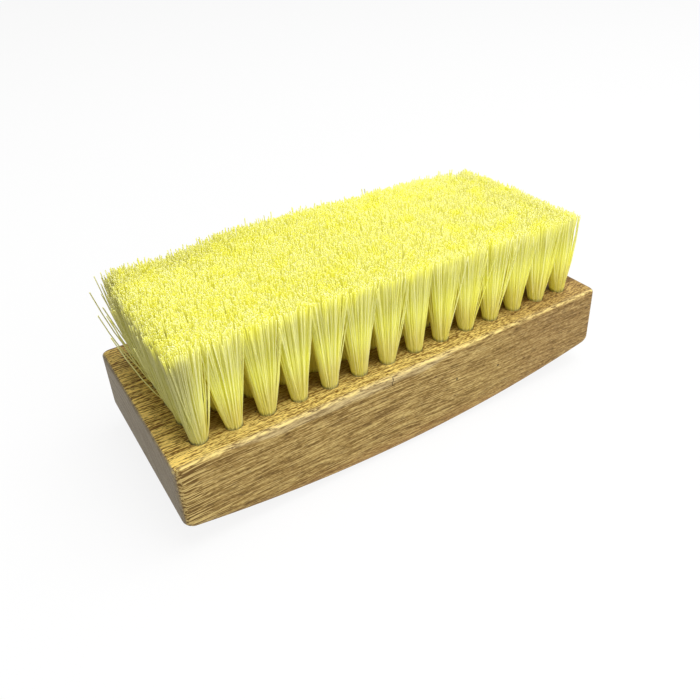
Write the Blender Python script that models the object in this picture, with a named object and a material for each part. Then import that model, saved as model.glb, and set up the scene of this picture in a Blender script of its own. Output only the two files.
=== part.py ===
"""A wooden laundry brush, lying on its arched back with the bristles up.

The block is one piece of hardwood: a flat bristle face, straight sides and a back that is arched
along its length. Tufts of filament stand in blind bores in the face. Each tuft is folded in half
under a flat wire anchor, which is driven down the bore and bites into its walls.

The strands stand for locks of many filaments. They are fused, two tufts at a time, to a slice of
the wooden face that carries them, with their folded roots and anchors below it. X runs along the
brush, Y across it, and the origin is the lowest point of the back, in the middle.
"""

import math
import random

import bmesh
import bpy
from mathutils import Matrix, Vector

# Block
block_length = 0.1356
block_width = 0.058
block_height = 0.0262
back_rise = 0.0062
back_facets = 11
back_round = 0.0035
corner_round = 0.002
face_round = 0.0009
back_round_steps = 3
corner_round_steps = 3
face_round_steps = 2

# Field of tufts
tuft_columns = 14
tuft_rows = 6
rows_per_slice = 2
end_margin = 0.0092
side_margin = 0.00735

# Tufts above the face, with the gaps that are left between their tips. The trimmed tips fall
# by trim_fall from the left end of the field to the right.
tip_gap_along = 0.0003
tip_gap_across = 0.0006
strand_length = 0.0262
trim_fall = 0.003
strands_across = 2
strands_along_outer_row = 3
strands_along_inner_row = 2
foot_fill_share = 0.86
tip_fill_share = 0.74
trim_unevenness = 0.0006
tip_stray = 0.0002

# The end columns fan out, more so at the worn end, and the fan dies away inwards
left_fan = 0.0012
right_fan = 0.0004
fan_shares = (1, 0.5, 0.2)

# Slices of the face, the wood left between them, and the roots and anchors below
slice_thickness = 0.002
slice_wall = 0.001
bore_width = 0.0051
bore_depth = 0.012
bore_sides = 6
anchor_bite = 0.00045
anchor_height = 0.0022
anchor_thickness = 0.0005
fold_height = 0.0014

# Fits and cuts
fit_gap = 0.0003
overrun = 0.001

slices_across = tuft_rows // rows_per_slice
column_pitch = (block_length - 2 * end_margin) / (tuft_columns - 1)
row_pitch = (block_width - 2 * side_margin) / (tuft_rows - 1)
tip_spread_along = column_pitch - tip_gap_along
tip_spread_across = row_pitch - tip_gap_across
root_width = bore_width - 2 * fit_gap
anchor_length = bore_width + 2 * anchor_bite
pocket_length = column_pitch - slice_wall
pocket_width = rows_per_slice * row_pitch - slice_wall

# Looks
wood_colour = (0.46, 0.27, 0.10, 1)
wood_roughness = 0.6
bristle_colour = (0.80, 0.72, 0.22, 1)
bristle_roughness = 0.45
steel_colour = (0.56, 0.56, 0.58, 1)
steel_roughness = 0.35
sharp_angle = math.radians(30)
stray_seed = 7
wood_slot, bristle_slot, steel_slot = range(3)


def clear_scene():
    for obj in list(bpy.data.objects):
        bpy.data.objects.remove(obj, do_unlink=True)


def new_collection(name):
    collection = bpy.data.collections.new(name)
    bpy.context.scene.collection.children.link(collection)
    return collection


def new_material(name, colour, roughness, metallic=0):
    material = bpy.data.materials.new(name)
    material.use_nodes = True
    shader = material.node_tree.nodes["Principled BSDF"]
    shader.inputs["Base Color"].default_value = colour
    shader.inputs["Roughness"].default_value = roughness
    shader.inputs["Metallic"].default_value = metallic
    material.diffuse_color = colour
    return material


def mesh_of(name, bm, material_slot=wood_slot):
    bmesh.ops.recalc_face_normals(bm, faces=bm.faces)
    for face in bm.faces:
        face.material_index = material_slot
    mesh = bpy.data.meshes.new(name)
    bm.to_mesh(mesh)
    bm.free()
    return mesh


def new_object(name, mesh, collection, location, parent=None):
    obj = bpy.data.objects.new(name, mesh)
    obj.location = location
    obj.parent = parent
    collection.objects.link(obj)
    return obj


def new_helper(name, mesh, collection, location, parent=None):
    helper = new_object(name, mesh, collection, location, parent)
    helper.hide_render = True
    helper.display_type = "WIRE"
    return helper


def add_boolean(obj, other, operation):
    modifier = obj.modifiers.new(f"{operation.title()} {other.name}", "BOOLEAN")
    modifier.operation = operation
    modifier.solver = "EXACT"
    modifier.object = other


def add_box(bm, size, centre):
    matrix = Matrix.Translation(centre) @ Matrix.Diagonal((*size, 1))
    bmesh.ops.create_cube(bm, size=1, matrix=matrix)


def add_prism(bm, width, top, bottom, centre):
    """An upright prism with bore_sides sides and the given width across its flats, a flat facing Y."""
    radius = width / 2 / math.cos(math.pi / bore_sides)
    place = Vector((centre[0], centre[1], (top + bottom) / 2))
    turn = Matrix.Rotation(math.pi / bore_sides, 4, "Z")
    bmesh.ops.create_cone(bm, cap_ends=True, segments=bore_sides, radius1=radius, radius2=radius,
                          depth=top - bottom, matrix=Matrix.Translation(place) @ turn)


def column_x(column):
    return (column - (tuft_columns - 1) / 2) * column_pitch


def row_y(row):
    return (row - (tuft_rows - 1) / 2) * row_pitch


def tuft_places():
    return [(column_x(column), row_y(row)) for column in range(tuft_columns) for row in range(tuft_rows)]


def slice_rows(index):
    return range(index * rows_per_slice, (index + 1) * rows_per_slice)


def slice_y(index):
    return sum(row_y(row) for row in slice_rows(index)) / rows_per_slice


def slice_places():
    return [(column_x(column), slice_y(index)) for column in range(tuft_columns) for index in range(slices_across)]


def slice_name(column, index):
    """Columns count from the left end, and rows from the front."""
    rows = slice_rows(index)
    return f"tufts_{column + 1:02d}_rows_{rows[0] + 1}_{rows[-1] + 1}"


def back_height(x):
    """Height of the arched back above its lowest point: a circle that climbs back_rise at the ends."""
    half = block_length / 2
    radius = (half**2 + back_rise**2) / (2 * back_rise)
    return radius - math.sqrt(radius**2 - x**2)


def facet_height(x):
    """Height of the back once it is cut into flat facets, the middle one lying on the ground."""
    facet_length = block_length / back_facets
    place = (x + block_length / 2) / facet_length
    facet = min(max(math.floor(place), 0), back_facets - 1)
    ends = [back_height((facet + side) * facet_length - block_length / 2) for side in (0, 1)]
    return ends[0] + (ends[1] - ends[0]) * (place - facet) - back_height(facet_length / 2)


def corner_arc(quarter, inset):
    """Points round one upright corner, anticlockwise, for an outline drawn in by inset."""
    middle = math.radians(90 * quarter + 45)
    x = math.copysign(block_length / 2 - inset - corner_round, math.cos(middle))
    y = math.copysign(block_width / 2 - inset - corner_round, math.sin(middle))
    for step in range(corner_round_steps + 1):
        angle = math.radians(90) * (quarter + step / corner_round_steps)
        yield x + corner_round * math.cos(angle), y + corner_round * math.sin(angle)


def block_outline(inset):
    """The outline seen from above, anticlockwise from the middle of the right end."""
    cuts = [block_length * (cut / back_facets - 0.5) for cut in range(1, back_facets)]
    side = block_width / 2 - inset
    back_side = [(x, side) for x in reversed(cuts)]
    front_side = [(x, -side) for x in cuts]
    corners = [list(corner_arc(quarter, inset)) for quarter in range(4)]
    return corners[0] + back_side + corners[1] + corners[2] + front_side + corners[3]


def round_profile(radius, steps):
    """(inset, drop) pairs down a quarter circle, from the flat at its top to the wall below."""
    for step in range(steps + 1):
        angle = math.radians(90) * step / steps
        yield radius * (1 - math.sin(angle)), radius * (1 - math.cos(angle))


def block_rings():
    """The outlines that the block is lofted through, from the face down to the back."""
    rings = []
    for inset, drop in round_profile(face_round, face_round_steps):
        rings.append([(x, y, block_height - drop) for x, y in block_outline(inset)])
    for inset, rise in reversed(list(round_profile(back_round, back_round_steps))):
        rings.append([(x, y, facet_height(x) + rise) for x, y in block_outline(inset)])
    return rings


def close_back(bm, ring):
    """Facets across the back, between the points at each cut on the two long sides."""
    corner = corner_round_steps + 1
    cuts = back_facets - 1
    back_side = ring[corner:corner + cuts]
    front_side = ring[3 * corner + cuts:3 * corner + 2 * cuts][::-1]
    left_end = ring[corner + cuts:3 * corner + cuts]
    right_end = ring[3 * corner + 2 * cuts:] + ring[:corner]
    bm.faces.new([back_side[-1]] + left_end + [front_side[-1]])
    bm.faces.new([front_side[0]] + right_end + [back_side[0]])
    for k in range(cuts - 1):
        bm.faces.new((back_side[k], back_side[k + 1], front_side[k + 1], front_side[k]))


def block_mesh():
    """The block before it is bored, lofted through outlines with rounded corners."""
    bm = bmesh.new()
    rings = [[bm.verts.new(point) for point in ring] for ring in block_rings()]
    for upper, lower in zip(rings, rings[1:]):
        for k in range(len(upper)):
            bm.faces.new((upper[k - 1], upper[k], lower[k], lower[k - 1]))
    bm.faces.new(rings[0])
    close_back(bm, rings[-1])
    return mesh_of("block", bm)


def pocket_mesh():
    """Cutters for the shallow pockets that the slices lie in."""
    bm = bmesh.new()
    depth = slice_thickness + fit_gap
    size = (pocket_length, pocket_width, depth + overrun)
    for x, y in slice_places():
        add_box(bm, size, (x, y, (overrun - depth) / 2))
    return mesh_of("pockets", bm)


def bore_mesh():
    """Cutters for the blind bores, one to a tuft."""
    bm = bmesh.new()
    for x, y in tuft_places():
        add_prism(bm, bore_width, overrun, -bore_depth, (x, y))
    return mesh_of("bores", bm)


def anchor_slot_mesh():
    """Cutters for the slots that the anchors score down the walls of the bores."""
    bm = bmesh.new()
    bottom = fold_height - bore_depth
    size = (anchor_length + 2 * fit_gap, anchor_thickness + 2 * fit_gap, overrun - bottom)
    for x, y in tuft_places():
        add_box(bm, size, (x, y, (overrun + bottom) / 2))
    return mesh_of("anchor_slots", bm)


def build_block(material, parts, cutters, root):
    block = new_object("block", block_mesh(), parts, (0, 0, 0), root)
    block.data.materials.append(material)
    face = (0, 0, block_height)
    for mesh in (pocket_mesh(), bore_mesh(), anchor_slot_mesh()):
        cutter = new_helper(f"{mesh.name}_cutter", mesh, cutters, face, root)
        add_boolean(block, cutter, "DIFFERENCE")
    block.data.shade_smooth()
    block.data.set_sharp_from_angle(angle=sharp_angle)


def tufts_on_slice():
    """Offsets across the brush, from the slice's middle, of the tufts that it carries."""
    return [(row - (rows_per_slice - 1) / 2) * row_pitch for row in range(rows_per_slice)]


def slice_mesh():
    bm = bmesh.new()
    size = (pocket_length - 2 * fit_gap, pocket_width - 2 * fit_gap, slice_thickness)
    add_box(bm, size, (0, 0, -slice_thickness / 2))
    return mesh_of("slice", bm)


def root_mesh():
    """The folded roots that fill the bores below a slice."""
    bm = bmesh.new()
    for y in tufts_on_slice():
        add_prism(bm, root_width, -slice_thickness / 2, fit_gap - bore_depth, (0, y))
    return mesh_of("roots", bm, bristle_slot)


def anchor_mesh():
    """The flat wire anchors, standing on edge across the roots, a fold's height off their bottoms."""
    bm = bmesh.new()
    bottom = fit_gap + fold_height - bore_depth
    for y in tufts_on_slice():
        add_box(bm, (anchor_length, anchor_thickness, anchor_height), (0, y, bottom + anchor_height / 2))
    return mesh_of("anchors", bm, steel_slot)


def fan_of(column):
    """How far the tips of a column lean along the brush."""
    for inward, share in enumerate(fan_shares):
        if column == inward:
            return -left_fan * share
        if column == tuft_columns - 1 - inward:
            return right_fan * share
    return 0


def strand_reach(column):
    """Length of a column's strands above the face."""
    return strand_length + trim_fall * (0.5 - column / (tuft_columns - 1))


def add_strand(bm, foot, foot_size, tip, tip_size):
    """A four-sided strand from foot to tip, as a unit cube whose corners are moved to its ends."""
    corners = bmesh.ops.create_cube(bm, size=1)["verts"]
    for vert in corners:
        centre, size = (tip, tip_size) if vert.co.z > 0 else (foot, foot_size)
        vert.co = centre + Vector((vert.co.x * size.x, vert.co.y * size.y, 0))


def add_tuft(bm, y, column, row, rng):
    """A tuft that leaves its bore about round and spreads to its share of the field at the tips."""
    outer = row in (0, tuft_rows - 1)
    along = strands_along_outer_row if outer else strands_along_inner_row
    tip_cell = Vector((tip_spread_along / along, tip_spread_across / strands_across))
    for i in range(along):
        offset = i - (along - 1) / 2
        chord_share = math.sqrt(1 - (2 * offset / along) ** 2)
        foot_cell = Vector((root_width / along, root_width / strands_across * chord_share))
        for j in range(strands_across):
            step = Vector((offset, j - (strands_across - 1) / 2))
            stray = Vector((rng.uniform(-1, 1), rng.uniform(-1, 1))) * tip_stray
            lean = step * (tip_cell - foot_cell) + stray + Vector((fan_of(column), 0))
            trim = rng.uniform(-1, 1) * trim_unevenness
            rise = math.sqrt(strand_reach(column)**2 - lean.length_squared) + trim
            foot = Vector((step.x * foot_cell.x, y + step.y * foot_cell.y, -slice_thickness / 2))
            tip = Vector((foot.x + lean.x, foot.y + lean.y, rise))
            add_strand(bm, foot, foot_cell * foot_fill_share, tip, tip_cell * tip_fill_share)


def strand_mesh(name, column, index, rng):
    bm = bmesh.new()
    for y, row in zip(tufts_on_slice(), slice_rows(index)):
        add_tuft(bm, y, column, row, rng)
    return mesh_of(name, bm, bristle_slot)


def rooted_slice_mesh(materials, cutters):
    """A slice with its roots and anchors, worked out once and shared by all the tuft pairs."""
    blank = new_helper("rooted_slice", slice_mesh(), cutters, (0, 0, 0))
    for material in materials:
        blank.data.materials.append(material)
    for mesh in (root_mesh(), anchor_mesh()):
        add_boolean(blank, new_helper(mesh.name, mesh, cutters, (0, 0, 0)), "UNION")
    graph = bpy.context.evaluated_depsgraph_get()
    return bpy.data.meshes.new_from_object(blank.evaluated_get(graph))


def build_tufts(materials, parts, cutters, root):
    rooted_slice = rooted_slice_mesh(materials, cutters)
    rng = random.Random(stray_seed)
    for column in range(tuft_columns):
        for index in range(slices_across):
            name = slice_name(column, index)
            place = (column_x(column), slice_y(index), block_height)
            tufts = new_object(name, rooted_slice, parts, place, root)
            mesh = strand_mesh(f"{name}_strands", column, index, rng)
            add_boolean(tufts, new_helper(mesh.name, mesh, cutters, (0, 0, 0), tufts), "UNION")


def main():
    clear_scene()
    parts = new_collection("laundry_brush")
    cutters = new_collection("laundry_brush_cutters")
    wood = new_material("wood", wood_colour, wood_roughness)
    bristle = new_material("bristle", bristle_colour, bristle_roughness)
    steel = new_material("steel", steel_colour, steel_roughness, metallic=1)
    root = new_object("laundry_brush_root", None, parts, (0, 0, 0))
    build_block(wood, parts, cutters, root)
    build_tufts((wood, bristle, steel), parts, cutters, root)


main()
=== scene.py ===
"""The looks of a wooden laundry brush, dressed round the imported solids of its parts.

The brush lies on its arched back with the bristles up. The block is bare sanded hardwood, and each
tuft is a bundle of thin filaments, folded under a flat wire anchor at the bottom of its bore.
"""

import math
import random

import bmesh
import bpy
import numpy as np
from mathutils import Matrix, Vector, noise


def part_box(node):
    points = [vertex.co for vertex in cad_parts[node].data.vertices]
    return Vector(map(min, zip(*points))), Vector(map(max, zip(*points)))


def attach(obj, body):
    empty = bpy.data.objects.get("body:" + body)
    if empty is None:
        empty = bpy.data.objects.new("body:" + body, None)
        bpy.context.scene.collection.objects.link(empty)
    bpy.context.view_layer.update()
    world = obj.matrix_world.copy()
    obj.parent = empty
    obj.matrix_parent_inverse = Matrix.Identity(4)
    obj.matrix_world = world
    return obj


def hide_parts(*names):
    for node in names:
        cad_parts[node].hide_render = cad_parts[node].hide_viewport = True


bl_info = {
    "name": "Laundry brush",
    "version": (1, 0, 0),
    "blender": (4, 5, 0),
    "location": "3D View > Sidebar > Laundry brush",
    "description": "Models the wood, the filaments and the wire anchors of a laundry brush",
    "category": "Object",
}

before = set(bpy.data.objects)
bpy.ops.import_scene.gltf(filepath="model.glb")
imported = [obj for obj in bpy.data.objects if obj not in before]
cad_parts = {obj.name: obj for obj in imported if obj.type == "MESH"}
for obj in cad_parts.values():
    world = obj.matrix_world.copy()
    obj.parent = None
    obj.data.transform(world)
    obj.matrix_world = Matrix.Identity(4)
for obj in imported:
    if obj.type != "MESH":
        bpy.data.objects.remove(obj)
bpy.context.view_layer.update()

# The block's own box, and the field of tufts in its face
block_low, block_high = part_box("block")
block_length = block_high.x - block_low.x
block_width = block_high.y - block_low.y
face_height = block_high.z
tuft_columns = 14
tuft_rows = 6
rows_per_slice = 2
end_margin = 0.0092
side_margin = 0.00735
column_pitch = (block_length - 2 * end_margin) / (tuft_columns - 1)
row_pitch = (block_width - 2 * side_margin) / (tuft_rows - 1)
bore_depth = 0.012

# How far the tips of a tuft spread, in halves of the pitch: past 1 they reach into the next tuft. The last
# three shares narrow the spread on the outer sides of the field and at its left and right ends
tip_overlap_along_share = 1.22
outer_overlap_along_share = 1.02
tip_overlap_across_share = 1.22
outer_spread_share = 0.62
left_spread_share = 0.68
right_spread_share = 0.45

# How single filaments leave that spread. The end columns fan out, and the columns beside them less and less
lock_sway = 0.0004
lock_fineness = 700
lean_scatter = 0.0004
bow_scatter = 0.00022
stray_reach = (1.2, 2.1)
far_stray_share = 0.035
far_stray_lean = (0.0020, 0.0062)
fan_reach = (0.4, 1.6)
fan_shares = (1.0, 0.62, 0.34, 0.16, 0.06)

# The heights at which a filament has a point, and the power of the height that its lean grows with
filament_levels = (0.0, 0.16, 0.40, 0.70, 1.0)
lean_power = 1.05
fan_power_loss = 0.25

# How uneven the trimming is. A few tips stand taller, and more of them along the back
trim_scatter = 0.0004
trim_waves = 0.0003
trim_fineness = 110
tall_share = 0.02
tall_rise = (0.0003, 0.0010)
back_tall_share_left = 0.08
back_tall_share_right = 0.03
back_tall_rise = (0.0006, 0.0020)

# The back of the trimmed top, which rises in its middle and falls towards both ends. A reach says where a
# change begins and where it is full, measured from the middle of the brush
back_reach = (0.0, 0.022)
back_middle_rise = 0.0007
back_left_fall = 0.0027
back_left_reach = (0.025, 0.047)
back_right_fall = 0.0014
back_right_reach = (0.035, 0.060)

# The wear of the tips at the left end, and the lesser wear along the front edge beside it
end_wear_reach = (0.0590, 0.0665)
front_wear_share = 0.4
front_wear_reach_across = (0.0205, 0.0285)
front_wear_reach_along = (0.015, 0.055)
unworn_share = 0.05

# The hand sanding of the front upper edge: the middle and half of the length where it is deepest
sanded_middle = -0.02
sanded_half_length = 0.04
least_sanding_share = 0.12
sanding_fineness = 90

# How finely the block is made
face_steps = 5
back_steps = 9
sanded_levels = (0.0014, 0.0020, 0.0026, 0.0034)
bore_sides = 28
sharp_angle = math.radians(40)

# Marks in the wood that the years left: where each lies, and half of its size
side_marks = (
    ((-0.00765, -0.029, 0.0254), (0.00022, 0.002, 0.0009)),
    ((-0.00805, -0.029, 0.0243), (0.00020, 0.002, 0.0009)),
    ((0.0138, -0.029, 0.0161), (0.0005, 0.002, 0.0005)),
    ((0.0291, -0.029, 0.0143), (0.0006, 0.002, 0.0004)),
)
rim_marks = (
    ((-0.0019, -0.0220, 0.0262), (0.0005, 0.0003, 0.001)),
    ((-0.0612, -0.0208, 0.0262), (0.0004, 0.0004, 0.001)),
    ((-0.0432, -0.0204, 0.0262), (0.0004, 0.0003, 0.001)),
    ((-0.0379, -0.0209, 0.0262), (0.0003, 0.0003, 0.001)),
)

# Where the anchors and the folds under them stand in the bores, measured down from the face
anchor_top = 0.0081
anchor_bottom = 0.0103
fold_clearance = 0.0002
fold_sag = 0.0012
wire_clearance = 0.0005
root_narrowing = 0.82
fold_narrowing = 0.9

# The camera that took the photo: the place in the face that it looks at, and the make of its picture
camera_target = (0.003897, 0.010503)
camera_shift = -0.0714
sensor_width = 36


def plain(red, green, blue):
    """A colour written as it looks on a screen, as Blender's own linear colour."""
    shares = (channel / 255 for channel in (red, green, blue))
    return tuple(c / 12.92 if c <= 0.04045 else ((c + 0.055) / 1.055) ** 2.4 for c in shares)


black = plain(0, 0, 0)
patch_yellow = plain(252, 250, 112)


def colour_setting(name, description, red, green, blue):
    return bpy.props.FloatVectorProperty(
        name=name, description=description, subtype="COLOR", size=3, min=0, max=1,
        default=plain(red, green, blue))


def length_setting(name, description, default):
    return bpy.props.FloatProperty(
        name=name, description=description, default=default, min=0, unit="LENGTH", precision=5)


class BrushBlockSettings(bpy.types.PropertyGroup):
    back_rise: length_setting(
        "Back rise", "How much the arched back climbs from its middle to its ends", 0.0062)
    back_round: length_setting("Back rounding", "Radius along the edges of the back", 0.0035)
    corner_round: length_setting("Corner rounding", "Radius of the four upright corners", 0.002)
    face_round: length_setting("Face rounding", "Radius along the edges of the bristle face", 0.0009)
    bore_width: length_setting("Bore width", "Diameter of the bores that hold the tufts", 0.0047)
    sanding_depth: length_setting("Sanding depth", "Wood taken off the front upper edge by hand", 0.0005)
    sanding_width: length_setting("Sanding width", "How far the hand sanding reaches down the side", 0.0030)
    pale_wood: colour_setting("Pale grain", "The palest streaks of the wood", 200, 174, 107)
    middle_wood: colour_setting("Middle grain", "Most of the wood", 155, 126, 67)
    dark_wood: colour_setting("Dark grain", "The darkest streaks of the wood", 103, 76, 28)
    pale_face: colour_setting("Pale face", "The palest grain on the bristle face", 230, 203, 114)
    dark_face: colour_setting("Dark face", "The darkest grain on the bristle face", 112, 76, 18)
    end_wood: colour_setting(
        "End grain", "The wood of the two ends, between the growth rings", 146, 135, 116)


class BrushBristleSettings(bpy.types.PropertyGroup):
    filament_width: length_setting("Filament width", "Diameter of one filament", 0.00031)
    filament_length: length_setting("Filament length", "From the face to the trimmed tips", 0.0262)
    trim_fall: length_setting(
        "Trim fall", "How much lower the tips are at the right end than at the left", 0.003)
    folded_filaments: bpy.props.IntProperty(
        name="Folded filaments", description="Filaments in a tuft, each with two ends up",
        default=140, min=8)
    stray_share: bpy.props.FloatProperty(
        name="Strays", description="Share of the filaments that lean their own way",
        default=0.11, min=0, max=1, subtype="FACTOR")
    left_fan: length_setting("Fan at the worn end", "How far the last column leans out there", 0.0011)
    wear: length_setting("Wear", "How far the outermost tips at the worn end are rubbed down", 0.0030)
    right_fan: length_setting("Fan at the other end", "How far the last column leans out there", 0.0004)
    seed: bpy.props.IntProperty(name="Seed", description="Starts the random leans", default=11, min=1)
    pale_filament: colour_setting("Pale filament", "The palest filaments", 253, 253, 206)
    deep_filament: colour_setting("Deep filament", "The yellowest filaments", 251, 250, 150)
    glow: colour_setting("Glow", "Light that the filaments pass on to each other", 197, 194, 71)


class BrushAnchorSettings(bpy.types.PropertyGroup):
    length: length_setting("Length", "Along the brush, past both walls of the bore", 0.006)
    thickness: length_setting("Thickness", "Of the flat wire", 0.0005)
    edge_round: length_setting("Edge rounding", "Radius along the edges of the wire", 0.0001)
    steel: colour_setting("Steel", "The bare wire", 176, 176, 180)


class BrushStudioSettings(bpy.types.PropertyGroup):
    lens: bpy.props.FloatProperty(
        name="Lens", description="Focal length", default=37.03, min=1, unit="CAMERA")
    distance: length_setting("Distance", "From the camera to the point that it looks at", 0.22068)
    azimuth: bpy.props.FloatProperty(
        name="Azimuth", description="Turn of the camera from the front towards the left end",
        default=math.radians(30.740), subtype="ANGLE")
    elevation: bpy.props.FloatProperty(
        name="Elevation", description="Angle of the camera above the horizon",
        default=math.radians(31.142), subtype="ANGLE")
    roll: bpy.props.FloatProperty(
        name="Roll", description="Turn of the camera about its own axis",
        default=math.radians(-3.003), subtype="ANGLE")


def column_x(column):
    return (column - (tuft_columns - 1) / 2) * column_pitch


def row_y(row):
    return (row - (tuft_rows - 1) / 2) * row_pitch


def mesh_of(bm, name):
    mesh = bpy.data.meshes.new(name)
    bm.to_mesh(mesh)
    bm.free()
    return mesh


def piece_of(mesh, name, materials, replaces=()):
    """An object at the origin that rides on the brush and stands for the solids that it replaces."""
    piece = bpy.data.objects.new(name, mesh)
    bpy.context.scene.collection.objects.link(piece)
    for material in materials:
        mesh.materials.append(material)
    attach(piece, "root")
    if replaces:
        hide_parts(*replaces)
    return piece


# Nodes of the materials


class Wiring:
    """Adds the nodes of one tree and links them."""

    def __init__(self, tree):
        self.tree = tree

    def put(self, socket, value):
        if isinstance(value, bpy.types.NodeSocket):
            self.tree.links.new(value, socket)
        elif hasattr(value, "__len__") and len(value) == 3 and socket.type == "RGBA":
            socket.default_value = (*value, 1)
        else:
            socket.default_value = value

    def add(self, kind, inputs=None, **settings):
        made = self.tree.nodes.new(kind)
        for key, value in settings.items():
            setattr(made, key, value)
        for key, value in (inputs or {}).items():
            self.put(made.inputs[key], value)
        return made

    def math(self, operation, first, second=0.0, third=0.0, clamp=False):
        inputs = {0: first, 1: second, 2: third}
        return self.add("ShaderNodeMath", inputs, operation=operation, use_clamp=clamp).outputs[0]

    def times(self, product, *values):
        for value in values:
            product = self.math("MULTIPLY", product, value)
        return product

    def added(self, total, pattern, weight):
        """A total with a pattern added by its weight. The pattern swings about a half."""
        return self.math("MULTIPLY_ADD", self.math("SUBTRACT", pattern, 0.5), weight, total)

    def ranged(self, mask, low, high):
        """low where the mask is 0, and high where it is 1."""
        return self.math("MULTIPLY_ADD", mask, high - low, low)

    def between(self, value, low, high):
        """0 where value is low, 1 where it is high, and smooth between."""
        limits = {"Value": value, "From Min": low, "From Max": high}
        return self.add("ShaderNodeMapRange", limits, interpolation_type="SMOOTHSTEP").outputs[0]

    def mix(self, factor, first, second, blend_type="MIX"):
        made = self.add("ShaderNodeMix", data_type="RGBA", blend_type=blend_type)
        sockets = [s for s in made.inputs if s.enabled]
        for socket, value in zip(sockets, (factor, first, second)):
            self.put(socket, value)
        return next(s for s in made.outputs if s.enabled)

    def tinted(self, colour, mask, share, target):
        """A colour that goes a share of the way to another where the mask is 1."""
        return self.mix(self.times(mask, share), colour, target)

    def place(self):
        """Where a spot lies on the brush: X is along it, Y across it and Z up."""
        return self.add("ShaderNodeTexCoord").outputs["Object"]

    def split(self, vector):
        return self.add("ShaderNodeSeparateXYZ", {0: vector}).outputs

    def attribute(self, name):
        return self.add("ShaderNodeAttribute", attribute_name=name).outputs["Fac"]

    def scaled(self, vector, scale):
        return self.add("ShaderNodeVectorMath", {0: vector, 1: scale}, operation="MULTIPLY").outputs[0]

    def noise(self, vector, detail=2.0, roughness=0.5):
        inputs = {"Vector": vector, "Scale": 1.0, "Detail": detail, "Roughness": roughness}
        return self.add("ShaderNodeTexNoise", inputs).outputs["Fac"]


def new_group(name, inputs, outputs):
    """A shader node group with named inputs, given with their defaults, and named outputs."""
    group = bpy.data.node_groups.new(name, "ShaderNodeTree")
    for key, (kind, default) in inputs.items():
        socket = group.interface.new_socket(key, in_out="INPUT", socket_type=kind)
        if default is not None:
            socket.default_value = default
    for key, kind in outputs.items():
        group.interface.new_socket(key, in_out="OUTPUT", socket_type=kind)
    wiring = Wiring(group)
    return group, wiring, wiring.add("NodeGroupInput").outputs, wiring.add("NodeGroupOutput").inputs


def grain_group():
    """Streaks that run along the brush: growth bands, fibre streaks, fine lines and open pores."""
    group, w, given, out = new_group(
        "wood grain",
        {"Vector": ("NodeSocketVector", None), "Band Width": ("NodeSocketFloat", 0.0050),
         "Streak Width": ("NodeSocketFloat", 0.0006), "Line Width": ("NodeSocketFloat", 0.00032),
         "Stretch": ("NodeSocketFloat", 28.0)},
        {"Bands": "NodeSocketFloat", "Streaks": "NodeSocketFloat", "Lines": "NodeSocketFloat",
         "Pores": "NodeSocketFloat"})
    place = w.split(given["Vector"])
    slow = w.noise(w.scaled(given["Vector"], (16.0, 50.0, 50.0)), 1.0)
    quick = w.noise(w.scaled(given["Vector"], (90.0, 160.0, 160.0)), 1.0)
    slow_sway = w.times(w.math("SUBTRACT", slow, 0.5), 0.005)
    quick_sway = w.times(w.math("SUBTRACT", quick, 0.5), 0.0006)
    sway = w.math("ADD", slow_sway, quick_sway)
    across = w.math("ADD", place["Y"], sway)
    upright = w.math("ADD", place["Z"], sway)

    def streaks(width, stretch, detail=1.0):
        along = w.math("DIVIDE", place["X"], w.times(width, stretch))
        side = w.math("DIVIDE", across, width)
        up = w.math("DIVIDE", upright, width)
        return w.noise(w.add("ShaderNodeCombineXYZ", {"X": along, "Y": side, "Z": up}).outputs[0], detail)

    w.put(out["Bands"], streaks(given["Band Width"], 20.0))
    w.put(out["Streaks"], streaks(given["Streak Width"], given["Stretch"]))
    w.put(out["Lines"], streaks(given["Line Width"], given["Stretch"]))
    pores = streaks(w.times(given["Line Width"], 0.7), w.times(given["Stretch"], 0.6), detail=0.0)
    w.put(out["Pores"], w.between(pores, 0.66, 0.76))
    return group


def mark_group():
    """A small dark mark, such as a pit or the end of a crack: 1 in its middle, 0 outside its size."""
    group, w, given, out = new_group(
        "wood mark",
        {"Vector": ("NodeSocketVector", None), "Centre": ("NodeSocketVector", (0, 0, 0)),
         "Size": ("NodeSocketVector", (0.001, 0.001, 0.001))},
        {"Mark": "NodeSocketFloat"})
    away = w.add("ShaderNodeVectorMath", {0: given["Vector"], 1: given["Centre"]}, operation="SUBTRACT")
    share = w.add("ShaderNodeVectorMath", {0: away.outputs[0], 1: given["Size"]}, operation="DIVIDE")
    far = w.add("ShaderNodeVectorMath", {0: share.outputs[0]}, operation="LENGTH").outputs["Value"]
    w.put(out["Mark"], w.between(far, 1.0, 0.4))
    return group


def new_material(name, roughness, metallic=0.0):
    material = bpy.data.materials.new(name)
    material.use_nodes = True
    shader = material.node_tree.nodes["Principled BSDF"]
    shader.inputs["Roughness"].default_value = roughness
    shader.inputs["Metallic"].default_value = metallic
    return material, Wiring(material.node_tree), shader.inputs


def wood_zones(w, spot):
    """Masks of the block's zones, which differ in colour or grain."""
    half_length = block_length / 2
    half_width = block_width / 2
    return {
        "face": w.between(spot["Z"], face_height - 0.0006, face_height - 0.0001),
        "ends": w.between(w.math("ABSOLUTE", spot["X"]), half_length - 0.0008, half_length - 0.0002),
        "front": w.between(spot["Y"], 0.0020 - half_width, 0.0008 - half_width),
        "left": w.between(spot["X"], -0.0585, -0.0630),
        "right": w.between(spot["X"], 0.020, 0.050),
        "wavy": w.times(w.between(spot["X"], 0.008, 0.028), 0.7),
        # Painted shade: the face inward from the front row and the left column, where the tufts shade it
        "field": w.times(w.between(spot["Y"], -0.0226, -0.0196), w.between(spot["X"], -0.0612, -0.0575)),
        "low": w.between(spot["Z"], 0.0075, 0.002),
    }


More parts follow.
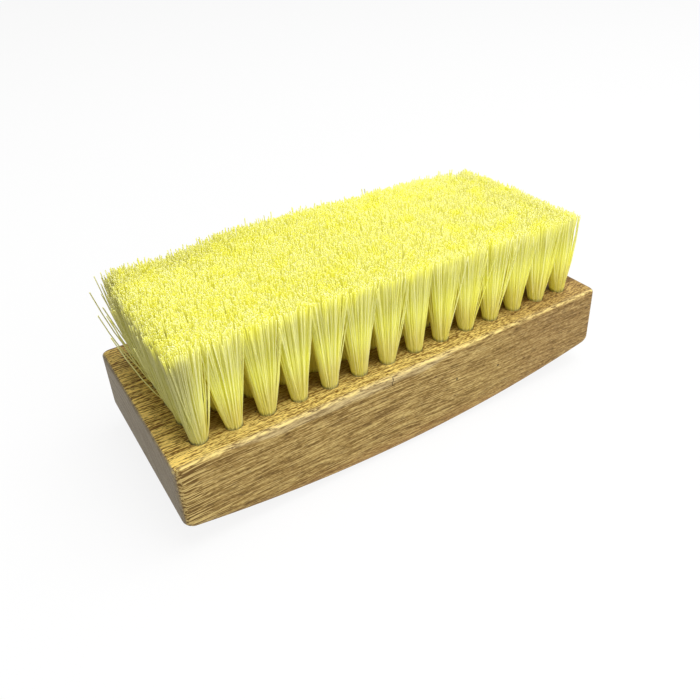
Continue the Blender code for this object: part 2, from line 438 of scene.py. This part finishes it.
def wood_tone(w, place, grain, zones):
    """How pale the wood is, from 0 to 1. The grain is stronger at the left end and wavy to the right."""
    figure = w.noise(w.scaled(place, (520.0, 520.0, 1300.0)), 1.0)
    dashes = w.noise(w.scaled(place, (620.0, 2400.0, 2400.0)), 1.0)
    fibres = w.noise(w.scaled(place, (1000.0, 5200.0, 5200.0)), 0.0)
    tone = w.times(w.math("SUBTRACT", grain["Bands"], 0.5), 0.5)
    tone = w.added(tone, grain["Streaks"], w.ranged(zones["left"], 0.7, 1.9))
    tone = w.added(tone, w.between(grain["Lines"], 0.40, 0.60), w.ranged(zones["left"], 0.60, 1.10))
    tone = w.times(tone, w.ranged(zones["wavy"], 1.0, 0.5))
    tone = w.added(tone, figure, zones["wavy"])
    tone = w.added(tone, dashes, w.ranged(zones["face"], 0.4, 1.5))
    tone = w.added(tone, fibres, w.ranged(zones["face"], 0.9, 2.3))
    return w.math("ADD", tone, 0.5, clamp=True)


def grain_colour(w, settings, tone, zones):
    """The bare wood of the sides and of the face, with painted shade on the face between the tufts."""
    low = w.mix(w.between(tone, 0.0, 0.5), settings.dark_wood, settings.middle_wood)
    side = w.mix(w.between(tone, 0.5, 1.0), low, settings.pale_wood)
    strong_grain = w.mix(tone, plain(100, 66, 12), plain(250, 214, 112))
    face = w.mix(tone, settings.dark_face, settings.pale_face)
    face = w.tinted(face, zones["left"], 0.6, strong_grain)
    # Painted shade between the tufts: the face goes a share of the way to dark brown
    face = w.tinted(face, zones["field"], 0.65, plain(104, 72, 18))
    wood = w.mix(zones["face"], side, face)
    duller = w.mix(zones["face"], plain(242, 236, 240), plain(212, 201, 207))
    wood = w.mix(zones["right"], wood, w.mix(1.0, wood, duller, "MULTIPLY"))
    return w.tinted(wood, zones["low"], 0.3, plain(164, 116, 66))


def end_grain(w, settings, place, spot):
    """The ends, which are cut across the growth rings. The pith lies below the block."""
    pith = (0.0, 0.012, -0.03)
    across = w.scaled(place, (0.0, 1.0, 1.0))
    from_pith = w.add("ShaderNodeVectorMath", {0: across, 1: pith}, operation="DISTANCE").outputs["Value"]
    point = w.add("ShaderNodeCombineXYZ", {"X": w.times(from_pith, 900.0), "Y": w.times(spot["Y"], 60.0)})
    rings = w.noise(point.outputs[0], 2.0)
    dark_end = w.mix(1.0, settings.end_wood, plain(206, 202, 196), "MULTIPLY")
    return w.mix(w.between(rings, 0.3, 0.6), dark_end, settings.end_wood)


def sanded_band(w, place, spot, depth):
    """A mask of the ragged band that the hand sanding left below the front upper edge."""
    ragged = w.noise(w.scaled(place, (90.0, 0.0, 500.0)), 3.0)
    from_middle = w.math("ABSOLUTE", w.math("SUBTRACT", spot["X"], sanded_middle))
    reach = w.times(w.between(from_middle, 0.038, 0.02), 0.0026, w.math("ADD", ragged, 0.4))
    return w.between(w.math("SUBTRACT", depth, reach), 0.0005, -0.0005)


def torn_edge_and_highlight(w, place, spot, depth):
    """Masks of the torn golden fibres along the front upper edge, which also serve as a painted highlight on
    its rounding, and of the dark nicks beside them.
    """
    front_side = -block_width / 2
    torn = w.noise(w.scaled(place, (330.0, 1500.0, 1500.0)), 3.0, 0.6)
    by_edge = w.times(w.between(depth, 0.0018, 0.0012),
                      w.between(spot["Y"], front_side + 0.0022, front_side + 0.0014))
    past_edge = w.math("SUBTRACT", w.math("SUBTRACT", spot["Y"], front_side), depth)
    off_line = w.math("ABSOLUTE", w.math("SUBTRACT", past_edge, 0.0003))
    # Pale torn fibres and a painted highlight, in a ragged line on the upper half of the rounded edge
    fibres_and_highlight = w.times(w.between(off_line, 0.0009, 0.0001), by_edge, w.between(torn, 0.40, 0.62))
    nicks = w.times(w.between(off_line, 0.0014, 0.0007), by_edge, w.between(torn, 0.44, 0.36))
    return fibres_and_highlight, nicks


def dark_marks(w, place):
    """A mask of the crack, the pits and the specks."""
    pit = mark_group()
    marks = 0.0
    for centre, size in side_marks + rim_marks:
        inputs = {"Vector": place, "Centre": centre, "Size": size}
        mark = w.add("ShaderNodeGroup", inputs, node_tree=pit).outputs[0]
        marks = w.math("MAXIMUM", marks, mark)
    return marks


def wood_material(settings):
    """Bare hardwood, with its grain, cut ends, hand sanding, torn front edge with a painted highlight, old
    marks, open pores and painted shade between the tufts.
    """
    material, w, shader = new_material("bare hardwood", 0.62)
    place = w.place()
    spot = w.split(place)
    depth = w.math("SUBTRACT", face_height, spot["Z"])
    grain = w.add("ShaderNodeGroup", {"Vector": place}, node_tree=grain_group()).outputs
    zones = wood_zones(w, spot)
    tone = wood_tone(w, place, grain, zones)
    fibres_and_highlight, nicks = torn_edge_and_highlight(w, place, spot, depth)
    marks = dark_marks(w, place)

    wood = grain_colour(w, settings, tone, zones)
    wood = w.tinted(wood, zones["ends"], 0.85, end_grain(w, settings, place, spot))
    sanded = w.times(zones["front"], sanded_band(w, place, spot, depth), w.ranged(tone, 0.2, 0.7))
    wood = w.mix(sanded, wood, plain(208, 188, 138))
    # Pale torn fibres and a painted highlight along the front upper edge
    wood = w.tinted(wood, fibres_and_highlight, 0.9, plain(236, 212, 134))
    wood = w.tinted(wood, nicks, 0.65, plain(84, 58, 22))
    wood = w.tinted(wood, marks, 0.85, plain(40, 28, 12))
    wood = w.tinted(wood, grain["Pores"], 0.5, plain(72, 50, 22))
    w.put(shader["Base Color"], wood)
    shader["Specular IOR Level"].default_value = 0.25
    w.put(shader["Roughness"], w.ranged(grain["Lines"], 0.74, 0.52))

    height = w.math("ADD", grain["Lines"], w.times(grain["Streaks"], 0.5))
    height = w.math("SUBTRACT", height, w.times(grain["Pores"], 0.7))
    height = w.math("SUBTRACT", height, w.times(marks, 2.0))
    bump = w.add("ShaderNodeBump", {"Height": height, "Strength": 0.6, "Distance": 0.0001})
    w.put(shader["Normal"], bump.outputs["Normal"])
    return material


def let_light_through(material, w, colour, share):
    """Mixes in a share of light that passes through the thin plastic."""
    tree = material.node_tree
    through = w.add("ShaderNodeBsdfTranslucent", {"Color": colour}).outputs[0]
    both = w.add("ShaderNodeMixShader", {0: share, 1: tree.nodes["Principled BSDF"].outputs[0], 2: through})
    w.put(tree.nodes["Material Output"].inputs["Surface"], both.outputs[0])


def top_patches(w):
    """Patches of deeper yellow in the field: 1 in a patch, 0 outside."""
    return w.between(w.noise(w.scaled(w.place(), (240.0, 240.0, 30.0)), 2.0), 0.50, 0.64)


def dull_corner(w, place):
    """The back of the field towards the worn end, whose tips are duller: 1 there, 0 outside."""
    return w.times(w.between(place["Y"], 0.008, 0.026), w.between(place["X"], 0.000, -0.045))


def filament_material(settings):
    """Pale translucent plastic. The glow is painted light: it stands for the light that close filaments pass
    on to each other, and is brighter to the right, towards the lamps, and on the lit top.
    """
    material, w, shader = new_material("yellow filament", 0.42)
    place = w.split(w.place())
    share = w.attribute("height_share")

    # Masks of the zones of the field, and of heights in it
    worn_from, worn_to = -0.0560, -0.0625
    unworn = w.between(place["X"], worn_to, worn_from)
    near_top = w.between(share, 0.78, 0.93)
    # Greyer on the upper flanks, from about half the height, but not at the tips
    greyer_band = w.times(w.between(share, 0.45, 0.75), w.between(share, 0.98, 0.90))
    # Painted shade at the left end, away from the lamps, where the tips are also really worn
    worn = w.times(w.between(place["X"], worn_from, worn_to), w.between(share, 0.98, 0.85))
    dull = w.times(dull_corner(w, place), near_top)
    # Painted shade of the backlit tips along the back edge: greyer colour and almost no glow
    backlit_edge = w.times(w.between(place["Y"], 0.0258, 0.0274), w.between(share, 0.84, 0.94))
    # Painted shade low inside the field, away from its outer rows and columns: saturated yellow and less
    # glow
    inner_shade = w.times(w.between(w.math("ABSOLUTE", place["Y"]), 0.0220, 0.0195),
                    w.between(w.math("ABSOLUTE", place["X"]), 0.0600, 0.0575),
                    w.between(share, 0.90, 0.50))
    # Painted shade low in the tufts, but not at the left end: deeper yellow and less glow
    low = w.times(w.between(share, 0.50, 0.10), unworn)
    patch = w.times(top_patches(w), near_top)

    colour = w.mix(w.attribute("tone"), settings.deep_filament, settings.pale_filament)
    # Greyer on the upper flanks
    colour = w.tinted(colour, greyer_band, 0.35, plain(222, 220, 190))
    # Painted shade, with wear, at the left end: the colour goes greyer and darker
    colour = w.tinted(colour, worn, 0.75, plain(204, 200, 150))
    colour = w.tinted(colour, dull, 0.3, plain(230, 228, 164))
    # Painted shade of the backlit tips along the back edge
    colour = w.tinted(colour, backlit_edge, 0.65, plain(200, 200, 136))
    # Painted shade inside the field: saturated yellow
    colour = w.tinted(colour, inner_shade, 0.85, plain(234, 220, 62))
    # Painted shade low in the tufts: deeper yellow
    colour = w.tinted(colour, low, 0.35, plain(238, 220, 132))
    colour = w.tinted(colour, patch, 0.4, patch_yellow)
    w.put(shader["Base Color"], colour)

    # Painted light: the glow is dimmer at the left and brighter to the right, towards the lamps
    glow = w.mix(w.between(place["X"], -0.02, 0.06), plain(181, 178, 66), settings.glow)
    # Painted shade low in the tufts: less glow
    glow = w.tinted(glow, low, 0.3, black)
    # Painted light on the lit top of the tufts, more to the right
    lit_top = w.times(w.ranged(w.between(place["X"], -0.015, 0.045), 0.20, 0.50), unworn, near_top)
    glow = w.mix(lit_top, glow, w.mix(patch, plain(252, 249, 176), plain(252, 254, 92)))
    # Painted shade at the left end: less glow
    glow = w.tinted(glow, worn, 0.8, plain(158, 155, 93))
    # Painted shade inside the field: less glow
    glow = w.tinted(glow, inner_shade, 0.5, black)
    # Painted shade: almost no glow at the backlit back edge, and a little less in the dull corner
    glow = w.mix(w.math("MAXIMUM", w.times(backlit_edge, 0.8), w.times(dull, 0.1)), glow, black)
    w.put(shader["Emission Color"], w.mix(w.between(share, 0.0, 0.04), black, glow))
    shader["Emission Strength"].default_value = 0.3
    let_light_through(material, w, colour, 0.5)
    return material


def cut_tip_material(settings):
    """The cut ends of the filaments, with a painted glow that grows towards the right."""
    material, w, shader = new_material("cut filament tip", 0.5)
    place = w.split(w.place())
    colour = w.mix(w.attribute("tone"), plain(246, 244, 176), plain(250, 248, 214))
    colour = w.tinted(colour, top_patches(w), 0.4, patch_yellow)
    colour = w.tinted(colour, dull_corner(w, place), 0.3, plain(232, 230, 170))
    w.put(shader["Base Color"], colour)
    # Painted light: the tips glow, more towards the right
    w.put(shader["Emission Color"], w.mix(w.between(place["X"], -0.03, 0.06), black, settings.glow))
    shader["Emission Strength"].default_value = 0.12
    let_light_through(material, w, colour, 0.2)
    return material


def steel_material(settings):
    """Drawn wire, whose fine lines run along it."""
    material, w, shader = new_material("anchor wire", 0.35, metallic=1.0)
    drawn = w.noise(w.scaled(w.place(), (300.0, 9000.0, 9000.0)), 2.0)
    shader["Base Color"].default_value = (*settings.steel, 1)
    w.put(shader["Roughness"], w.ranged(drawn, 0.25, 0.5))
    return material


# The block


def back_height(x, rise):
    """Height of the arched back above its lowest point: a circle that climbs by rise at the ends."""
    half = block_length / 2
    radius = (half**2 + rise**2) / (2 * rise)
    return radius - math.sqrt(radius**2 - x**2)


def corner_points(quarter, inset, radius, steps=8):
    """Points round one upright corner, anticlockwise, for an outline drawn in by inset."""
    middle = math.radians(90 * quarter + 45)
    x = math.copysign(block_length / 2 - inset - radius, math.cos(middle))
    y = math.copysign(block_width / 2 - inset - radius, math.sin(middle))
    for step in range(steps + 1):
        angle = math.radians(90) * (quarter + step / steps)
        yield x + radius * math.cos(angle), y + radius * math.sin(angle)


def block_outline(inset, radius, cuts=120):
    """The block's outline from above, anticlockwise from the back end of the right side."""
    corners = [list(corner_points(quarter, inset, radius)) for quarter in range(4)]
    half = block_length / 2 - inset - radius
    side = block_width / 2 - inset
    along = [half * (2 * cut / cuts - 1) for cut in range(1, cuts)]
    back_side = [(x, side) for x in reversed(along)]
    front_side = [(x, -side) for x in along]
    return corners[0] + back_side + corners[1] + corners[2] + front_side + corners[3]


def sanded_off(settings, x, y, depth):
    """Wood taken off the front upper edge: more in its left half, and wavy as hand work is."""
    if y > 0 or depth > settings.sanding_width:
        return 0.0
    reach = max(least_sanding_share, 1 - (abs(x - sanded_middle) / sanded_half_length) ** 4)
    wave = 0.65 + 0.6 * noise.noise(Vector((x * sanding_fineness, 3.7, 0)))
    return settings.sanding_depth * reach * wave * (1 - depth / settings.sanding_width)


def block_levels(settings):
    """The levels that the block is lofted through: inset, depth below the face, rise above the back."""
    levels = []
    for step in range(face_steps + 1):
        angle = math.radians(90) * step / face_steps
        inset = settings.face_round * (1 - math.sin(angle))
        levels.append((inset, settings.face_round * (1 - math.cos(angle)), None))
    for depth in sanded_levels:
        levels.append((0.0, depth, None))
    for step in range(back_steps + 1):
        angle = math.radians(90) * (1 - step / back_steps)
        inset = settings.back_round * (1 - math.sin(angle))
        levels.append((inset, None, settings.back_round * (1 - math.cos(angle))))
    return levels


def add_level(bm, settings, inset, depth, rise):
    """One outline of the loft, made as a circle whose points are moved to their places."""
    points = block_outline(inset, settings.corner_round)
    verts = bmesh.ops.create_circle(bm, segments=len(points), radius=1)["verts"]
    for vert, (x, y) in zip(verts, points):
        z = face_height - depth if rise is None else back_height(x, settings.back_rise) + rise
        off = sanded_off(settings, x, y, face_height - z)
        vert.co = (x, y + off if y < 0 else y, z)
    return verts


def loop_edges(verts):
    """The edges between each vertex of a loop and the next."""
    found = []
    for k, vert in enumerate(verts):
        after = verts[(k + 1) % len(verts)]
        found.append(next(edge for edge in vert.link_edges if edge.other_vert(vert) == after))
    return found


def add_bore(bm, x, y, width):
    """A blind round bore whose mouth is left open in the face. Returns the edges round its mouth."""
    top = Matrix.Translation((x, y, face_height))
    bottom = Matrix.Translation((x, y, face_height - bore_depth))
    mouth = bmesh.ops.create_circle(bm, segments=bore_sides, radius=width / 2, matrix=top)
    edges = loop_edges(mouth["verts"])
    deep = bmesh.ops.create_circle(bm, segments=bore_sides, radius=width / 2, matrix=bottom, cap_ends=True)
    bmesh.ops.bridge_loops(bm, edges=edges + loop_edges(deep["verts"]))
    return edges


def block_mesh(settings):
    bm = bmesh.new()
    loops = [add_level(bm, settings, *level) for level in block_levels(settings)]
    for upper, lower in zip(loops, loops[1:]):
        bmesh.ops.bridge_loops(bm, edges=loop_edges(upper) + loop_edges(lower))
    rim = loop_edges(loops[0])
    back = loops[-1]
    half = len(back) // 2
    chains = loop_edges(back)
    del chains[half - 1], chains[-1]
    bmesh.ops.bridge_loops(bm, edges=chains)
    mouths = []
    for column in range(tuft_columns):
        for row in range(tuft_rows):
            mouths += add_bore(bm, column_x(column), row_y(row), settings.bore_width)
    face = bmesh.ops.triangle_fill(bm, use_beauty=True, edges=rim + mouths)["geom"]
    bmesh.ops.recalc_face_normals(bm, faces=bm.faces)
    for polygon in bm.faces:
        polygon.smooth = True
    for polygon in face:
        if isinstance(polygon, bmesh.types.BMFace):
            polygon.smooth = False
    mesh = mesh_of(bm, "wood_block")
    mesh.set_sharp_from_angle(angle=sharp_angle)
    return mesh


class BRUSH_OT_wood_block(bpy.types.Operator):
    """Model the bored hardwood block"""

    bl_idname = "laundry_brush.wood_block"
    bl_label = "Wood block"

    def execute(self, context):
        settings = context.scene.brush_block
        piece_of(block_mesh(settings), "wood_block", [wood_material(settings)], ["block"])
        return {"FINISHED"}


# The filaments


def bore_feet(settings, rng):
    """Places of the filaments in the front half of a bore, packed in a hexagonal pattern."""
    radius = block_bore_radius() - settings.filament_width
    spacing = math.sqrt(math.pi * radius**2 / (2 * settings.folded_filaments) * 2 / math.sqrt(3))
    rows = range(-int(radius / spacing) - 2, int(radius / spacing) + 3)
    places = []
    for i in rows:
        for j in rows:
            x, y = (i + 0.5 * (j % 2)) * spacing, j * spacing * math.sqrt(3) / 2
            if y <= 0 and math.hypot(x, y) <= radius:
                places.append(Vector((x, y)))
    rng.shuffle(places)
    return places[:settings.folded_filaments]


def block_bore_radius():
    return bpy.context.scene.brush_block.bore_width / 2


def fan_share(column):
    """1 in the last column of either end. The fan dies away inwards."""
    inward = min(column, tuft_columns - 1 - column)
    return fan_shares[inward] if inward < len(fan_shares) else 0.0


def smooth(value, low, high):
    """0 where value is low, 1 where it is high, and smooth between."""
    share = min(max((value - low) / (high - low), 0.0), 1.0)
    return share * share * (3 - 2 * share)


def squared(place):
    """Stretches a place in the unit disc to the square around it, corners included."""
    u, v = place
    root = 2 * math.sqrt(2)
    first = 2 + u * u - v * v
    second = 2 - u * u + v * v
    x = (math.sqrt(max(first + root * u, 0)) - math.sqrt(max(first - root * u, 0))) / 2
    y = (math.sqrt(max(second + root * v, 0)) - math.sqrt(max(second - root * v, 0))) / 2
    return Vector((x, y))


def tip_lean(settings, column, row, foot, place, rng):
    """How far a filament's tip stands out from its foot."""
    tip = squared(foot / (block_bore_radius() - settings.filament_width))
    outer = row in (0, tuft_rows - 1)
    tip.x *= column_pitch / 2 * (outer_overlap_along_share if outer else tip_overlap_along_share)
    tip.y *= row_pitch / 2 * tip_overlap_across_share
    if outer and tip.y * row_y(row) > 0:
        tip.y *= outer_spread_share
    if column == 0 and tip.x < 0:
        tip.x *= left_spread_share
    if column == tuft_columns - 1 and tip.x > 0:
        tip.x *= right_spread_share
    lean = tip - foot
    lock = noise.noise_vector(Vector((*(place * lock_fineness), 0.0)))
    lean += Vector((lock.x, lock.y)) * lock_sway
    lean += Vector((rng.gauss(0, 1), rng.gauss(0, 1))) * lean_scatter
    if rng.random() < settings.stray_share:
        lean *= rng.uniform(*stray_reach)
    if column == 0 and row > 0 and foot.x < 0 and rng.random() < far_stray_share:
        lean.x -= rng.uniform(*far_stray_lean)
    fan = -settings.left_fan if column < tuft_columns / 2 else settings.right_fan
    lean.x += fan * fan_share(column) * rng.uniform(*fan_reach)
    return lean


def rubbed_off(settings, x, y, rng):
    """How much shorter wear has made a tip. A few tips escape it."""
    if rng.random() < unworn_share:
        return 0.0
    front = front_wear_share * smooth(-y, *front_wear_reach_across) * smooth(-x, *front_wear_reach_along)
    return settings.wear * max(smooth(-x, *end_wear_reach), front)


def hand_trim(x, y):
    """How far the trimmed tips stand above a flat plane."""
    left_fall = back_left_fall * smooth(-x, *back_left_reach)
    right_fall = back_right_fall * smooth(x, *back_right_reach)
    return smooth(y, *back_reach) * (back_middle_rise - left_fall - right_fall)


def standing_end(settings, column, row, centre, foot, rng):
    """Points of one end of a filament, from its bore's mouth to its cut tip."""
    place = centre + foot
    lean = tip_lean(settings, column, row, foot, place, rng)
    wave = noise.noise(Vector((*(place * trim_fineness), 5.0)))
    trim = rng.uniform(-1, 1) * trim_scatter + trim_waves * wave
    if rng.random() < tall_share:
        trim += rng.uniform(*tall_rise)
    back_tall_share = back_tall_share_left if place.x < 0 else back_tall_share_right
    if row == tuft_rows - 1 and rng.random() < back_tall_share:
        trim += rng.uniform(*back_tall_rise)
    field_length = column_pitch * (tuft_columns - 1)
    reach = settings.filament_length - settings.trim_fall * place.x / field_length
    tip = place + lean
    height = math.sqrt(reach**2 - lean.length_squared) + trim
    rise = height + hand_trim(*tip) - rubbed_off(settings, *tip, rng)
    power = lean_power - fan_power_loss * fan_share(column)
    bow = Vector((rng.gauss(0, 1), rng.gauss(0, 1))) * bow_scatter
    for share in filament_levels:
        point = place + lean * share**power + bow * math.sin(math.pi * share)
        yield Vector((point.x, point.y, face_height + rise * share))


def hidden_end(centre, foot, side):
    """Points of one end of a filament inside its bore, from just below the mouth to the fold."""
    radius = block_bore_radius()
    beside = wire_clearance + abs(foot.y) * (radius - wire_clearance) / radius * root_narrowing
    for depth, share in ((anchor_top, 1.0), (anchor_bottom, fold_narrowing)):
        yield Vector((centre.x + foot.x, centre.y + side * beside * share, face_height - depth))


def folded_filament(settings, column, row, centre, foot, rng):
    """A filament folded under its anchor: down one side of the wire and up the other, tip to tip."""
    back_foot = Vector((foot.x, -foot.y))
    front = list(standing_end(settings, column, row, centre, foot, rng))
    back = list(standing_end(settings, column, row, centre, back_foot, rng))
    fold_depth = anchor_bottom + fold_clearance + fold_sag * abs(foot.y) / block_bore_radius()
    fold = Vector((centre.x + foot.x, centre.y, face_height - fold_depth))
    down = list(hidden_end(centre, foot, -1))
    up = list(hidden_end(centre, foot, 1))
    return front[::-1] + down + [fold] + up[::-1] + back


def tuft_curve(settings, paths):
    """A curve with one spline for each filament, bevelled to the filament's width."""
    curve = bpy.data.curves.new("filaments", "CURVE")
    curve.dimensions = "3D"
    curve.bevel_depth = settings.filament_width / 2
    curve.bevel_resolution = 0
    curve.use_fill_caps = True
    for path in paths:
        spline = curve.splines.new("POLY")
        spline.points.add(len(path) - 1)
        spline.points.foreach_set("co", [value for point in path for value in (*point, 1.0)])
    return curve


def filament_mesh(settings, name, paths, tones):
    """The filaments as one mesh, with each one's tone, each point's height share and the cut tips marked."""
    holder = bpy.data.objects.new(name, tuft_curve(settings, paths))
    bpy.context.scene.collection.objects.link(holder)
    graph = bpy.context.evaluated_depsgraph_get()
    mesh = bpy.data.meshes.new_from_object(holder.evaluated_get(graph))
    curve = holder.data
    bpy.data.objects.remove(holder)
    bpy.data.curves.remove(curve)
    mesh.name = name

    # The mesh starts with the caps: two a filament, of two triangles each, and the last filament's first.
    # The tubes follow, the first filament's first.
    sides = 4
    count, length = len(paths), len(paths[0])
    cap_points = 2 * sides * count
    cap_triangles = 2 * 2 * count
    tone = np.empty(len(mesh.vertices), np.float32)
    tone[:cap_points] = np.repeat(np.array(tones)[::-1], 2 * sides)
    tone[cap_points:] = np.repeat(np.array(tones), sides * length)
    heights = np.empty(len(mesh.vertices) * 3, np.float32)
    mesh.vertices.foreach_get("co", heights)
    share = np.clip((heights[2::3] - face_height) / settings.filament_length, 0, 1)
    mesh.attributes.new("tone", "FLOAT", "POINT").data.foreach_set("value", tone)
    mesh.attributes.new("height_share", "FLOAT", "POINT").data.foreach_set("value", share)
    slots = np.zeros(len(mesh.polygons), np.int32)
    slots[:cap_triangles] = 1
    mesh.polygons.foreach_set("material_index", slots)
    mesh.polygons.foreach_set("use_smooth", slots == 0)

    bm = bmesh.new()
    bm.from_mesh(mesh)
    bmesh.ops.remove_doubles(bm, verts=bm.verts, dist=1e-7)
    for edge in bm.edges:
        edge.smooth = len({face.material_index for face in edge.link_faces}) == 1
    bm.to_mesh(mesh)
    bm.free()
    return mesh


class BRUSH_OT_filaments(bpy.types.Operator):
    """Model the tufts as bundles of folded filaments, two tufts to a piece"""

    bl_idname = "laundry_brush.filaments"
    bl_label = "Filaments"

    def execute(self, context):
        settings = context.scene.brush_bristles
        materials = [filament_material(settings), cut_tip_material(settings)]
        rng = random.Random(settings.seed)
        # Without a seed, the noise that groups the filaments in locks starts from the clock
        noise.seed_set(settings.seed)
        for column in range(tuft_columns):
            for first in range(0, tuft_rows, rows_per_slice):
                paths, tones = [], []
                for row in range(first, first + rows_per_slice):
                    centre = Vector((column_x(column), row_y(row)))
                    for foot in bore_feet(settings, rng):
                        paths.append(folded_filament(settings, column, row, centre, foot, rng))
                        tones.append(rng.random())
                ending = f"{column + 1:02d}_rows_{first + 1}_{first + rows_per_slice}"
                mesh = filament_mesh(settings, f"filaments_{ending}", paths, tones)
                piece_of(mesh, mesh.name, materials, [f"tufts_{ending}"])
        return {"FINISHED"}


class BRUSH_OT_wire_anchors(bpy.types.Operator):
    """Model the flat wires that hold the folds of the tufts down"""

    bl_idname = "laundry_brush.wire_anchors"
    bl_label = "Wire anchors"

    def execute(self, context):
        settings = context.scene.brush_anchors
        size = Vector((settings.length, settings.thickness, anchor_bottom - anchor_top))
        middle = face_height - (anchor_bottom + anchor_top) / 2
        bm = bmesh.new()
        for column in range(tuft_columns):
            for row in range(tuft_rows):
                place = Matrix.Translation((column_x(column), row_y(row), middle))
                bmesh.ops.create_cube(bm, size=1, matrix=place @ Matrix.Diagonal((*size, 1)))
        bmesh.ops.bevel(
            bm, geom=bm.edges, offset=settings.edge_round, segments=1, profile=0.5, affect="EDGES",
            material=-1)
        piece_of(mesh_of(bm, "wire_anchors"), "wire_anchors", [steel_material(settings)])
        return {"FINISHED"}


# The stage


def seeing_rays(w):
    """1 for the rays that see a surface, also in a reflection, and 0 for those that only take its light."""
    path = w.add("ShaderNodeLightPath").outputs
    seen = w.math("MAXIMUM", path["Is Camera Ray"], path["Is Glossy Ray"])
    return w.math("MAXIMUM", seen, path["Is Transmission Ray"])


def floor_material():
    """White to the camera but for the object's own shadow."""
    material, w, shader = new_material("white floor", 0.9)
    nodes = material.node_tree.nodes
    shader["Base Color"].default_value = (0.8, 0.8, 0.8, 1)
    white = w.add("ShaderNodeEmission", {"Color": (1, 1, 1), "Strength": 1.0}).outputs[0]
    whiteness = w.times(seeing_rays(w), 0.87)
    both = w.add("ShaderNodeMixShader", {0: whiteness, 1: nodes["Principled BSDF"].outputs[0], 2: white})
    w.put(nodes["Material Output"].inputs["Surface"], both.outputs[0])
    return material


def add_softbox(name, place, target, size, power):
    """A square soft light that faces its target."""
    light = bpy.data.lights.new(name, "AREA")
    light.shape = "SQUARE"
    light.size = size
    light.energy = power
    box = bpy.data.objects.new(name, light)
    box.location = place
    box.rotation_mode = "QUATERNION"
    box.rotation_quaternion = (Vector(target) - Vector(place)).to_track_quat("-Z", "Y")
    bpy.context.scene.collection.objects.link(box)


def light_world():
    """White to the camera. As a light it is dim on the left and bright on the right."""
    world = bpy.data.worlds.new("studio")
    bpy.context.scene.world = world
    world.use_nodes = True
    w = Wiring(world.node_tree)
    towards = w.split(w.add("ShaderNodeTexCoord").outputs["Generated"])
    limits = {"Value": towards["X"], "From Min": -0.8, "From Max": 0.8, "To Min": 0.12, "To Max": 0.75}
    light = w.add("ShaderNodeMapRange", limits).outputs[0]
    strength = w.add("ShaderNodeMapRange", {"Value": seeing_rays(w), "To Min": light, "To Max": 1.0})
    background = world.node_tree.nodes["Background"]
    background.inputs["Color"].default_value = (1, 1, 1, 1)
    w.put(background.inputs["Strength"], strength.outputs[0])


def add_camera(settings):
    """The camera looks down over the front left corner, at a point of the bristle face near its middle."""
    data = bpy.data.cameras.new("camera")
    data.lens = settings.lens
    data.sensor_width = sensor_width
    data.shift_y = camera_shift
    data.clip_start = 0.01
    data.clip_end = 10
    camera = bpy.data.objects.new("camera", data)
    az, el, roll = settings.azimuth, settings.elevation, settings.roll
    ahead = Vector((math.cos(el) * math.sin(az), math.cos(el) * math.cos(az), -math.sin(el)))
    right = Vector((math.cos(az), -math.sin(az), 0))
    up = right.cross(ahead)
    side = right * math.cos(roll) + up * math.sin(roll)
    top = up * math.cos(roll) - right * math.sin(roll)
    turn = Matrix((side, top, -ahead)).transposed().to_4x4()
    target = Vector((*camera_target, face_height))
    camera.matrix_world = Matrix.Translation(target - ahead * settings.distance) @ turn
    bpy.context.scene.collection.objects.link(camera)
    bpy.context.scene.camera = camera


class BRUSH_OT_studio(bpy.types.Operator):
    """Set up the white floor, the soft lights and the camera"""

    bl_idname = "laundry_brush.studio"
    bl_label = "Studio"

    def execute(self, context):
        bm = bmesh.new()
        bmesh.ops.create_grid(bm, x_segments=1, y_segments=1, size=3)
        floor = bpy.data.objects.new("floor", mesh_of(bm, "floor"))
        floor.data.materials.append(floor_material())
        context.scene.collection.objects.link(floor)
        light_world()
        add_softbox("top softbox", place=(0.2, -0.15, 0.88), target=(0, 0, 0), size=0.7, power=8)
        add_softbox("front softbox", place=(0.3, -0.85, 0.55), target=(0, 0, 0.02), size=0.6, power=3)
        add_camera(context.scene.brush_studio)
        context.scene.view_settings.view_transform = "Standard"
        return {"FINISHED"}


class BRUSH_PT_panel(bpy.types.Panel):
    bl_idname = "BRUSH_PT_panel"
    bl_label = "Laundry brush"
    bl_space_type = "VIEW_3D"
    bl_region_type = "UI"
    bl_category = "Laundry brush"

    def draw(self, context):
        for pointer, _, operator in sections:
            box = self.layout.box()
            settings = getattr(context.scene, pointer)
            for name in settings.__annotations__:
                box.prop(settings, name)
            box.operator(operator.bl_idname)


sections = (
    ("brush_block", BrushBlockSettings, BRUSH_OT_wood_block),
    ("brush_bristles", BrushBristleSettings, BRUSH_OT_filaments),
    ("brush_anchors", BrushAnchorSettings, BRUSH_OT_wire_anchors),
    ("brush_studio", BrushStudioSettings, BRUSH_OT_studio),
)


def register():
    for pointer, settings, operator in sections:
        bpy.utils.register_class(settings)
        bpy.utils.register_class(operator)
        setattr(bpy.types.Scene, pointer, bpy.props.PointerProperty(type=settings))
    bpy.utils.register_class(BRUSH_PT_panel)


def unregister():
    bpy.utils.unregister_class(BRUSH_PT_panel)
    for pointer, settings, operator in reversed(sections):
        delattr(bpy.types.Scene, pointer)
        bpy.utils.unregister_class(operator)
        bpy.utils.unregister_class(settings)


def main():
    register()
    bpy.ops.laundry_brush.wood_block()
    bpy.ops.laundry_brush.filaments()
    bpy.ops.laundry_brush.wire_anchors()
    bpy.ops.laundry_brush.studio()
    bpy.context.view_layer.update()


if __name__ == "__main__":
    main()
